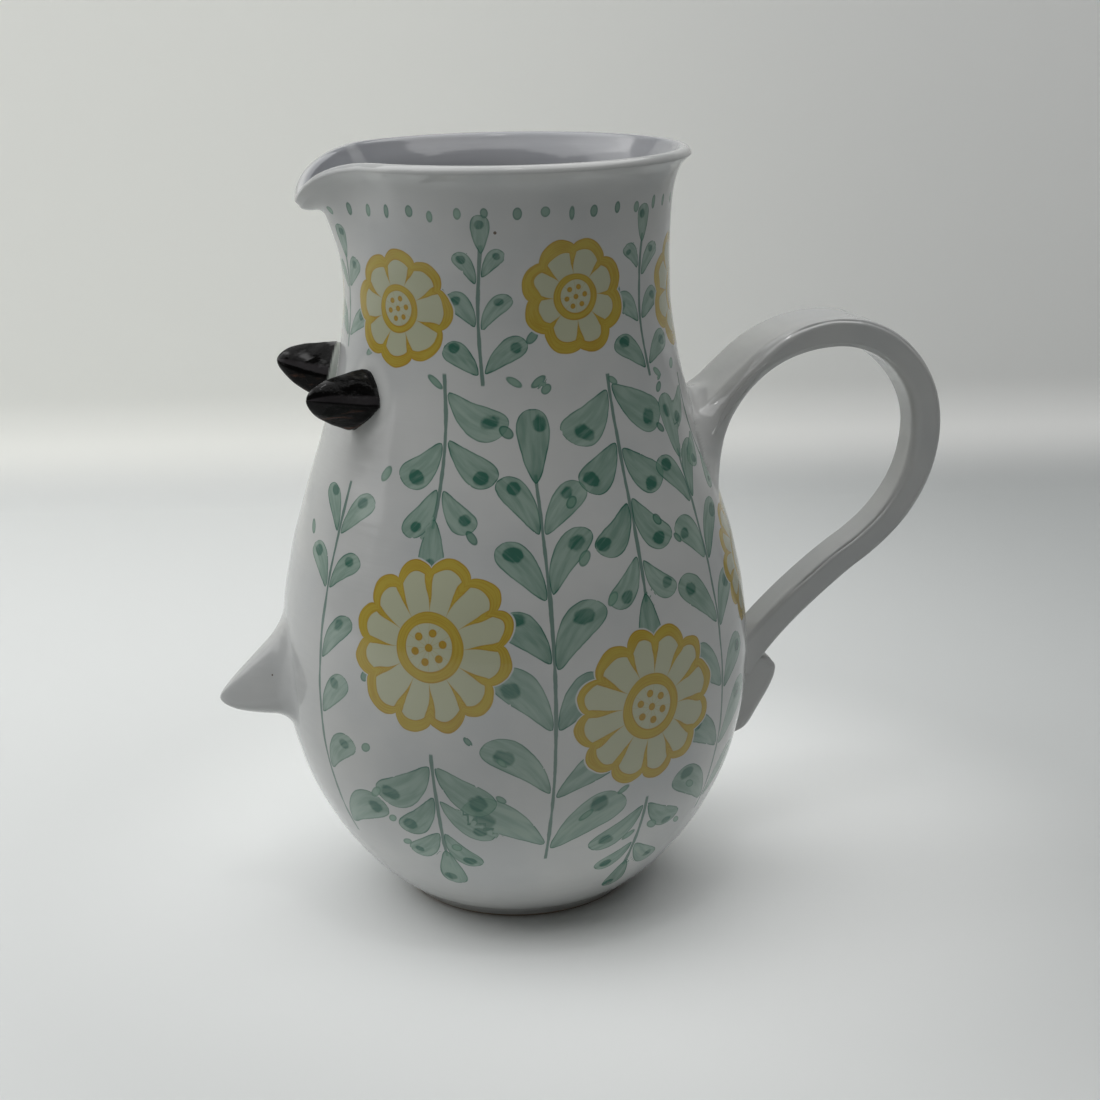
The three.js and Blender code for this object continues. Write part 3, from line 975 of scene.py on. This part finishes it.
def stripCorner(x, y, halfWide, halfThick, radius, groove=0):
    # Flat faces with a round corner between them, and a fine pulled line along the corner
    flat = 20  # degrees of the unit circle that each half face takes up
    lineWidth = 0.13
    turn = math.degrees(math.atan2(abs(y), abs(x)))
    share = min(max((turn - flat) / (90 - 2 * flat), 0), 1)
    line = groove * math.exp(-(((share - 0.5) / lineWidth) ** 2))
    wide = halfWide - radius + (radius - line) * math.cos(share * math.pi / 2)
    thick = halfThick - radius + (radius - line) * math.sin(share * math.pi / 2)
    if turn < flat:
        thick *= turn / flat
    if turn > 90 - flat:
        wide *= (90 - turn) / flat
    return math.copysign(wide, x), math.copysign(thick, y)


def placeTube(bm, section):
    for vert in bm.verts:
        vert.co = section(round(vert.co.z), vert.co.x, vert.co.y)


def markRoot(bm, name, start, soft):
    # 1 at the wall, 0 where a point is further than start from it
    mark = bm.verts.layers.float.new(name)
    for vert in bm.verts:
        clear = math.hypot(*vert.co.xy) - float(wallRadius(vert.co.z))
        vert[mark] = float(smoothstep((start - clear) / soft))


# Strap handle: the centreline's knots from the upper root to the lower, a column each
strap = {
    "knots": {
        "reach": (59.5, 106, 140.3, 114.6, 75.8),
        "height": (131, 178.5, 144.2, 102.2, 64),
        "slope": (81.5, 0, -90, -147.5, -108),
        "lead": (0, 17, 17.8, 19.7, 12.5),
        "follow": (39, 18.5, 17, 8.9, 0),
        "width": (36, 24.3, 14.4, 14.2, 15),
        "thick": (5.8, 9.4, 10.6, 9, 9.2),
        "corner": (6.5, 2.1, 3.4, 2.1, 1.7),
        "groove": (0, 0.6, 0, 0.6, 0),
    },
    "flare": 14.8,
    "flareEnd": 0.485,
    "upperFillet": 14,
    "lowerFillet": 4.2,
    "grooveLevel": 0.65,
    "grooveDrift": 0.09,
    "dent": 0.3,
    "dentScale": 0.045,
    "rootFade": 9,
    "stations": [160, 40, 40, 70],
    "sides": 96,
}


def strapStations():
    stations = []
    named = strap["knots"]
    knots = [dict(zip(named, row)) for row in zip(*named.values())]
    for span, (start, end) in enumerate(zip(knots, knots[1:])):
        corners = []
        for knot, share in ((start, 0), (start, start["follow"]), (end, -end["lead"]), (end, 0)):
            slope = math.radians(knot["slope"])
            corners.append(Vector((knot["reach"] + share * math.cos(slope), 0,
                                   knot["height"] + share * math.sin(slope))))
        steps = strap["stations"][span]
        path = interpolate_bezier(*corners, steps + 1)
        for step in range(0 if span == 0 else 1, steps + 1):
            share = step / steps
            before, after = path[max(step - 1, 0)], path[min(step + 1, steps)]
            along = (after - before).normalized()
            flare = strap["flare"] * max(0, 1 - share / strap["flareEnd"]) ** 2 if span == 0 else 0
            up = Vector((-along.z, 0, along.x))
            ease = float(smoothstep(share))
            station = {"centre": path[step] + up * flare / 2, "up": up}
            for name in ("width", "thick", "corner", "groove"):
                station[name] = mix(start[name], end[name], ease)
            station["thick"] += flare
            stations.append(station)
    return stations


def makeStrap():
    stations = strapStations()
    bm = unitTube(strap["sides"], len(stations))

    def section(station, x, y):
        s = stations[station]
        centre = s["centre"]
        drift = noise.noise(centre * strap["grooveDrift"])
        groove = s["groove"] * (strap["grooveLevel"] + drift)
        wide, thick = stripCorner(x, y, s["width"] / 2, s["thick"] / 2, s["corner"], groove)
        point = centre + Vector((0, wide, 0)) + s["up"] * thick
        point = dented(point, centre, strap["dent"], strap["dentScale"])
        fillet = mix(strap["upperFillet"], strap["lowerFillet"], station / (len(stations) - 1))
        return flowIntoWall(point, centre, fillet)

    placeTube(bm, section)
    markRoot(bm, "root", strap["rootFade"], strap["rootFade"])
    return makePiece(bm, "strapHandle", "strap_handle", shadedStrapGlaze)


# Nose: a drooping cone pinched to a narrow ridge along its top. Its rings lie over the
# wall like contour lines, and the lowest ones run out in a quarter round
nose = {
    "middle": 79.1,
    "length": 21.2,
    "droop": 8.2,
    "droopCurve": 1.3,
    "halfTall": 14.4,
    "halfWide": 11.6,
    "taper": 0.81,
    "tipRound": 10,
    "spacing": 0.9,
    "lean": 0.38,
    "topSquareness": 4.2,
    "lowSquareness": 2.3,
    "fillet": 5,
    "flowSteps": 18,
    "sunk": 0.3,
    "dent": 0.3,
    "dentScale": 0.09,
    "stations": 64,
    "sides": 80,
}


def makeNose():
    n = nose
    bm = unitTube(n["sides"], n["stations"] + n["flowSteps"])

    def section(station, x, y):
        turn = min(station / n["flowSteps"], 1) * math.pi / 2
        clear = n["fillet"] * (1 - math.cos(turn)) - (n["sunk"] if station == 0 else 0)
        spread = n["fillet"] * (1 - math.sin(turn))
        share = max(station - n["flowSteps"], 0) / (n["stations"] - 1)
        clear += (n["length"] - n["fillet"]) * share ** n["spacing"]
        out = clear / n["length"]
        size = (1 - n["taper"] * out) * math.sqrt(max(1 - max(out, 0) ** n["tipRound"], 0))
        squareness = mix(n["lowSquareness"], n["topSquareness"], (y + 1) / 2)
        up = squared(y, squareness)
        across = squared(x, squareness) * (1 - n["lean"] * up)
        flat = Vector((0, across * n["halfWide"], up * n["halfTall"])) * size
        flat = dented(flat, Vector((0, 0, 0)), n["dent"], n["dentScale"])
        flat += flat.normalized() * spread
        fallen = 1 - (1 - min(max(out, 0), 1)) ** n["droopCurve"]
        height = n["middle"] - n["droop"] * fallen + flat.z
        reach = skinRadius(height) + clear
        return Vector((-math.sqrt(reach * reach - flat.y * flat.y), flat.y, height))

    placeTube(bm, section)
    return makePiece(bm, "noseCone", "nose", whiteGlaze)


# Horns: pinched brown-black cones on the neck, mirrored about a slightly turned plane
horns = {
    "dropFromTop": 72,
    "length": 19.2,
    "root": 6,
    "tall": 21.4,
    "wide": 15.5,
    "angle": math.radians(24),
    "splay": math.radians(-5.5),
    "turn": math.radians(3),
    "squareness": 1.62,
    "blunt": 0.5,
    "slant": 0.4,
    "pinch": 0.09,
    "tipRound": 3.6,
    "crowding": 1.3,
    "rootRound": 1.6,
    "rootDip": 0.45,
    "bareFade": 0.7,
    "dent": 0.7,
    "dentScale": 0.2,
    "haloRise": 1.2,
    "haloReach": 1.45,
    "haloFade": 0.35,
    "sides": 64,
    "stations": 60,
}


def hornFacing(hand, angle):
    turn = hand * angle - horns["turn"]
    return -math.cos(turn), math.sin(turn), 0


def makeHorn(name, node, hand, tipRise, bareWidth):
    h = horns
    height = vessel["height"] - h["dropFromTop"]
    start = Vector(hornFacing(hand, h["angle"])) * (float(wallRadius(height)) - h["root"])
    along = Vector(hornFacing(hand, h["angle"] + h["splay"]))
    across = Vector((0, 0, 1)).cross(along)
    bm = unitTube(h["sides"], h["stations"])
    around = bm.verts.layers.float.new("around")
    for vert in bm.verts:
        vert[around] = vert.co.y

    def section(station, x, y):
        # Stations crowd towards the tip, where a cone and a round nose are mixed
        out = 1 - (1 - station / (h["stations"] - 1)) ** h["crowding"]
        share = out * (h["length"] + h["root"])
        taper = min(1, (h["length"] + h["root"] - share) / h["length"])
        size = mix(taper, math.sqrt(max(1 - (1 - taper) ** h["tipRound"], 0)), h["blunt"])
        centre = start + along * share
        centre.z = height + tipRise * out
        pinch = h["pinch"] * math.sin(math.pi * min(out, 1)) * max(2 * abs(x * y), 0) ** 1.5
        upwards = squared(y, h["squareness"]) * h["tall"] / 2
        sideways = squared(x, h["squareness"]) * h["wide"] / 2 - hand * h["slant"] * min(upwards, 0)
        offset = across * sideways + Vector((0, 0, upwards))
        point = centre + offset * size * (1 - pinch)
        clear = math.hypot(point.x, point.y) - float(wallRadius(point.z))
        rounded = max(1 - abs(clear) / h["rootRound"], 0)
        point -= offset.normalized() * h["rootRound"] * h["rootDip"] * rounded**2
        return dented(point, centre, h["dent"], h["dentScale"])

    placeTube(bm, section)
    markRoot(bm, "bareRoot", bareWidth, h["bareFade"])
    return makePiece(bm, name, node, darkGlaze)


# Tongue of clay under the lower root, a round lobe at its top that thins down the wall
tail = {
    "top": 68.7,
    "height": 29.3,
    "reach": 14.7,
    "width": 15.4,
    "root": 5,
    "corner": 3.2,
    "fillet": 1.2,
    "dent": 0.3,
    "dentScale": 0.08,
    "rootFade": 3,
    "easing": 0.09,
    "stations": 80,
    "sides": 64,
    "levels": [0, 0.02, 0.07, 0.2, 0.4, 0.56, 0.74, 0.87, 0.95, 1],
    "reaches": [0.5, 0.76, 0.94, 1, 0.9, 0.77, 0.68, 0.63, 0.5, 0.1],
    "widths": [0.88, 0.93, 0.96, 0.98, 1, 1, 0.97, 0.88, 0.74, 0.4],
}


def makeTail():
    t = tail
    bm = unitTube(t["sides"], t["stations"])

    def eased(level, name):
        nearby = level + np.linspace(-1, 1, 9) * min(level, 1 - level, t["easing"])
        return float(np.mean(np.interp(nearby, t["levels"], t[name])))

    def section(station, x, y):
        level = float(smoothstep(station / (t["stations"] - 1)))
        height = t["top"] - t["height"] * level
        wall = skinRadius(height)
        deep = t["reach"] * eased(level, "reaches") + t["root"]
        wide = t["width"] * eased(level, "widths")
        centre = Vector((wall - t["root"] + deep / 2, 0, height))
        corner = min(t["corner"], deep / 2, wide / 2)
        sideways, outward = stripCorner(x, y, wide / 2, deep / 2, corner)
        point = centre + Vector((outward, sideways, 0))
        return flowIntoWall(dented(point, centre, t["dent"], t["dentScale"]), centre, t["fillet"])

    placeTube(bm, section)
    markRoot(bm, "root", t["rootFade"], t["rootFade"])
    return makePiece(bm, "handleTongue", "handle_terminal", shadedStrapGlaze)


makeVessel()
print("vessel made")
makeStrap()
makeNose()
makeHorn("hornRight", "horn_right", 1, 6, 2.5)
makeHorn("hornLeft", "horn_left", -1, 4.6, 0)
makeTail()
print("applied pieces made")

# Camera, solved from the outline of the turned form
view = {
    "azimuth": math.radians(-12),
    "distance": 0.58792,
    "height": 0.29413,
    "heading": math.radians(-13.165),
    "tilt": 0.301252,
    "roll": -0.017101,
    "fieldOfView": 2 * math.atan(550 / 1900),
}


def makeCamera():
    data = bpy.data.cameras.new("photoCamera")
    data.sensor_fit = "HORIZONTAL"
    data.angle = view["fieldOfView"]
    camera = addObject("photoCamera", data)
    away = Vector((math.sin(view["azimuth"]), -math.cos(view["azimuth"]), 0))
    spot = Vector((axisX, 0, view["height"])) + away * view["distance"]
    turn = Matrix.Rotation(view["heading"], 4, "Z")
    turn = turn @ Matrix.Rotation(math.pi / 2 - view["tilt"], 4, "X")
    camera.matrix_world = Matrix.Translation(spot) @ turn @ Matrix.Rotation(view["roll"], 4, "Z")
    bpy.context.scene.camera = camera


# Stage: a pale floor that turns up into a low wall behind the pitcher, with painted light on the floor
# round the pitcher's base
stage = {
    "floorColor": (0.66, 0.675, 0.67, 1),
    # Painted light: a lighter floor near the pitcher's base
    "nearLitColor": (0.89, 0.905, 0.90, 1),
    "wallColor": (0.93, 0.935, 0.895, 1),
    # Painted shade: floor and wall darker towards the right
    "floorShadeRight": (0.43, 0.445, 0.445, 1),
    "wallShadeRight": (0.83, 0.835, 0.82, 1),
    "rightFrom": -0.05,
    "rightTo": 0.38,
    "nearFrom": 0.05,
    "nearTo": 0.20,
    "front": -2.5,
    "wallDistance": 0.5,
    "bend": 0.055,
    "bendSteps": 16,
    "wallToneTop": 0.03,
    "wallTop": 0.50,
    "halfWidth": 2.0,
}


def makePaper():
    # Seen from behind, as from another side of the pitcher, the wall is clear
    s = stage
    material, tree = newMaterial("palePaper")
    across, deep, height = separate(objectPlace(tree))
    # Painted light: the floor is lighter round the pitcher's base, against its shadow
    near = fade(flatLength(across, deep), s["nearFrom"], s["nearTo"])
    # Painted shade: floor and wall darken towards the right, away from the light
    right = fade(across, s["rightFrom"], s["rightTo"])
    floorTone = tint(near, s["nearLitColor"], tint(right, s["floorColor"], s["floorShadeRight"]))
    wallTone = tint(right, s["wallColor"], s["wallShadeRight"])
    color = tint(fade(height, 0.0, s["wallToneTop"]), floorTone, wallTone)
    paper = addNode(tree, "BsdfDiffuse", {"Color": color})
    clear = addNode(tree, "BsdfTransparent")
    behind = addNode(tree, "NewGeometry").outputs["Backfacing"]
    both = addNode(tree, "MixShader", {0: behind, 1: paper.outputs[0], 2: clear.outputs[0]})
    setSurface(tree, both)
    return material


def makeStage():
    bm = bmesh.new()
    wide, back, bend = stage["halfWidth"], stage["wallDistance"], stage["bend"]
    profile = [(stage["front"], 0), (back - bend, 0)]
    for step in range(1, stage["bendSteps"] + 1):
        turn = step / stage["bendSteps"] * math.pi / 2
        profile.append((back - bend + bend * math.sin(turn), bend - bend * math.cos(turn)))
    profile.append((back, stage["wallTop"]))
    edges = addLine(bm, [(-wide, y, z) for y, z in profile])[1]
    grown = bmesh.ops.extrude_edge_only(bm, edges=edges)["geom"]
    moved = [item for item in grown if isinstance(item, bmesh.types.BMVert)]
    bmesh.ops.translate(bm, vec=(2 * wide, 0, 0), verts=moved)
    turn = Matrix.Rotation(view["azimuth"], 3, "Z")
    bmesh.ops.rotate(bm, cent=(0, 0, 0), matrix=turn, verts=bm.verts)
    bmesh.ops.recalc_face_normals(bm, faces=bm.faces)
    if bm.faces[0].normal.z < 0:
        bmesh.ops.reverse_faces(bm, faces=bm.faces)
    floor = addMesh(bm, "paleFloor", makePaper())


# Light: a broad soft ceiling, a window and a skylight from the left, a small bright pane
# and a weak pale room
lamps = {
    "ceiling": {"energy": 20, "size": (2.2, 1.6), "place": (-0.2, 0.1, 1.2), "target": (-0.2, 0.1, 0)},
    "window": {"energy": 2.2, "size": (0.9, 0.8), "place": (-1.2, 0.1, 0.7), "target": (0, 0, 0.1)},
    "skylight": {"energy": 1.9, "size": (0.8, 1.2), "place": (-0.9, 0.1, 1.1), "target": (-0.1, 0, 0)},
    "pane": {"energy": 0.6, "size": (0.14, 0.1), "place": (0.05, -0.35, 1.5), "target": (0, 0, 0.15)},
}
room = {"color": (0.62, 0.63, 0.60, 1), "strength": 0.09, "seenStrength": 0.9}


def addLamp(name, lamp):
    data = bpy.data.lights.new(name, "AREA")
    data.shape = "RECTANGLE"
    data.size, data.size_y = lamp["size"]
    data.energy = lamp["energy"]
    turn = Matrix.Rotation(view["azimuth"], 3, "Z")
    spot = turn @ Vector(lamp["place"])
    target = turn @ Vector(lamp["target"])
    item = addObject(name, data)
    item.location = spot
    item.rotation_euler = (target - spot).to_track_quat("-Z", "Y").to_euler()


def makeWorld():
    world = bpy.data.worlds.new("paleRoom")
    bpy.context.scene.world = world
    world.use_nodes = True
    tree = world.node_tree
    tree.nodes.clear()
    seen = addNode(tree, "LightPath").outputs["Is Camera Ray"]
    lit = addNode(tree, "Background", {"Color": room["color"], "Strength": room["strength"]})
    shown = addNode(tree, "Background", {"Color": room["color"], "Strength": room["seenStrength"]})
    both = addNode(tree, "MixShader", {0: seen, 1: lit.outputs[0], 2: shown.outputs[0]})
    output = addNode(tree, "OutputWorld")
    tree.links.new(both.outputs[0], output.inputs["Surface"])


makeCamera()
makeStage()
makeWorld()
for name, lamp in lamps.items():
    addLamp(name, lamp)
bpy.context.scene.view_settings.view_transform = "Standard"
print("camera, stage and light made")
